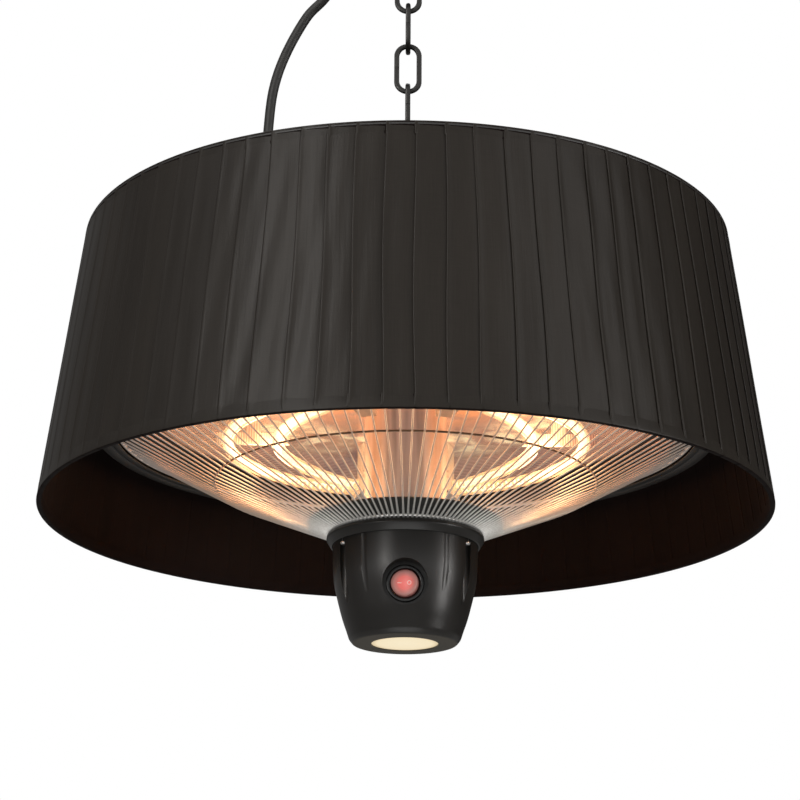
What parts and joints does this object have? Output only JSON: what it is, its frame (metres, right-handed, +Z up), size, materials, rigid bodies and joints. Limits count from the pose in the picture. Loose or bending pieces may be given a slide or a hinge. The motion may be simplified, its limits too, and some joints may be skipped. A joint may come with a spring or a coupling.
{
  "type": "hanging patio heater",
  "caption": "Electric halogen patio heater in a pleated fabric shade, hung from a ceiling plate by a chain, with a wire guard and a lamp pod under it.",
  "frame": {"origin": "middle of the ceiling plate's top face, where the heater meets the ceiling", "axes": "+Z up, -Y towards the front with the switch, +X to the right seen from the front"},
  "size_m": [0.6, 0.6, 0.6602],
  "materials": {
    "black_steel": "satin black powder coat",
    "housing_paint": "matte heat-proof paint",
    "bright_steel": "zinc-plated",
    "chrome_wire": "chrome-plated wire",
    "polished_sheet": "polished reflector sheet",
    "shade_fabric": "pleated charcoal fabric",
    "lining_fabric": "matte dark lining",
    "hem_tape": "woven edge tape",
    "pod_plastic": "fine-grained matte black",
    "dark_plastic": "smooth black",
    "switch_red": "translucent, lit from inside",
    "lens_white": "frosted, lit warm white",
    "hot_glass": "clear quartz, glowing",
    "hot_filament": "glowing wire",
    "white_ceramic": "unglazed white",
    "cable_rubber": "matte black sheath",
    "led_board_white": "white lamp housing"
  },
  "bodies": {
    "ceiling_mount": {"ceiling_plate": "black_steel", "ceiling_hook": "black_steel", "plate_screw_left": "bright_steel", "plate_screw_right": "bright_steel", "coil_cradle_left": "bright_steel", "coil_cradle_right": "bright_steel", "cable_coil": "cable_rubber", "mains_plug": "dark_plastic", "supply_cable": "cable_rubber"},
    "link_1": {"chain_link_1": "black_steel"},
    "link_2": {"chain_link_2": "black_steel"},
    "link_3": {"chain_link_3": "black_steel"},
    "link_4": {"chain_link_4": "black_steel"},
    "link_5": {"chain_link_5": "black_steel"},
    "link_6": {"chain_link_6": "black_steel"},
    "heater": {"hanging_eye": "black_steel", "stem_tube": "black_steel", "shade_nut": "bright_steel", "dome_nut_upper": "bright_steel", "dome_nut_lower": "bright_steel", "shade_cover": "shade_fabric", "shade_lining": "lining_fabric", "shade_frame_top": "black_steel", "shade_ring_bottom": "black_steel", "shade_hem_top": "hem_tape", "shade_hem_bottom": "hem_tape", "housing_dome": "housing_paint", "reflector_dish": "polished_sheet", "reflector_column": "polished_sheet", "heat_shield": "housing_paint", "heating_tube_outer_left": "hot_glass", "heating_tube_inner_left": "hot_glass", "heating_tube_outer_right": "hot_glass", "heating_tube_inner_right": "hot_glass", "filament_outer_left": "hot_filament", "filament_inner_left": "hot_filament", "filament_outer_right": "hot_filament", "filament_inner_right": "hot_filament", "tube_holder_rear_left": "white_ceramic", "tube_holder_rear_right": "white_ceramic", "tube_holder_front_left": "white_ceramic", "tube_holder_front_right": "white_ceramic", "tube_clip_left": "bright_steel", "tube_clip_right": "bright_steel", "wire_guard": "chrome_wire", "guard_mid_ring": "chrome_wire", "pod_collar": "pod_plastic", "pod_body": "pod_plastic", "pod_screw_front_left": "bright_steel", "pod_screw_front_right": "bright_steel", "pod_screw_rear_left": "bright_steel", "pod_screw_rear_right": "bright_steel", "switch_bezel": "dark_plastic", "led_lens": "lens_white", "led_module": "led_board_white", "cable_gland": "dark_plastic", "gland_nut": "dark_plastic", "terminal_block": "white_ceramic"},
    "rocker": {"switch_rocker": "switch_red"}
  },
  "joints": [
    {"name": "hook_swing", "type": "hinge", "parent": "ceiling_mount", "child": "link_1", "pos_m": [0, 0, -0.057], "axis": [0, 1, 0], "range_deg": [-12, 12], "deforming": ["supply_cable"]},
    {"name": "link_swing_2", "type": "hinge", "parent": "link_1", "child": "link_2", "pos_m": [0, 0, -0.0947], "axis": [1, 0, 0], "range_deg": [-12, 12], "deforming": ["supply_cable"]},
    {"name": "link_swing_3", "type": "hinge", "parent": "link_2", "child": "link_3", "pos_m": [0, 0, -0.1334], "axis": [0, 1, 0], "range_deg": [-12, 12], "deforming": ["supply_cable"]},
    {"name": "link_swing_4", "type": "hinge", "parent": "link_3", "child": "link_4", "pos_m": [0, 0, -0.1721], "axis": [1, 0, 0], "range_deg": [-12, 12], "deforming": ["supply_cable"]},
    {"name": "link_swing_5", "type": "hinge", "parent": "link_4", "child": "link_5", "pos_m": [0, 0, -0.2108], "axis": [0, 1, 0], "range_deg": [-12, 12], "deforming": ["supply_cable"]},
    {"name": "link_swing_6", "type": "hinge", "parent": "link_5", "child": "link_6", "pos_m": [0, 0, -0.2495], "axis": [1, 0, 0], "range_deg": [-12, 12], "deforming": ["supply_cable"]},
    {"name": "heater_swing", "type": "hinge", "parent": "link_6", "child": "heater", "pos_m": [0, 0, -0.2882], "axis": [0, 1, 0], "range_deg": [-12, 12], "deforming": ["supply_cable"]},
    {"name": "rocker_tilt", "type": "hinge", "parent": "heater", "child": "rocker", "pos_m": [0, -0.04649, -0.62085], "axis": [0, 0, 1], "range_deg": [0, 20]}
  ]
}
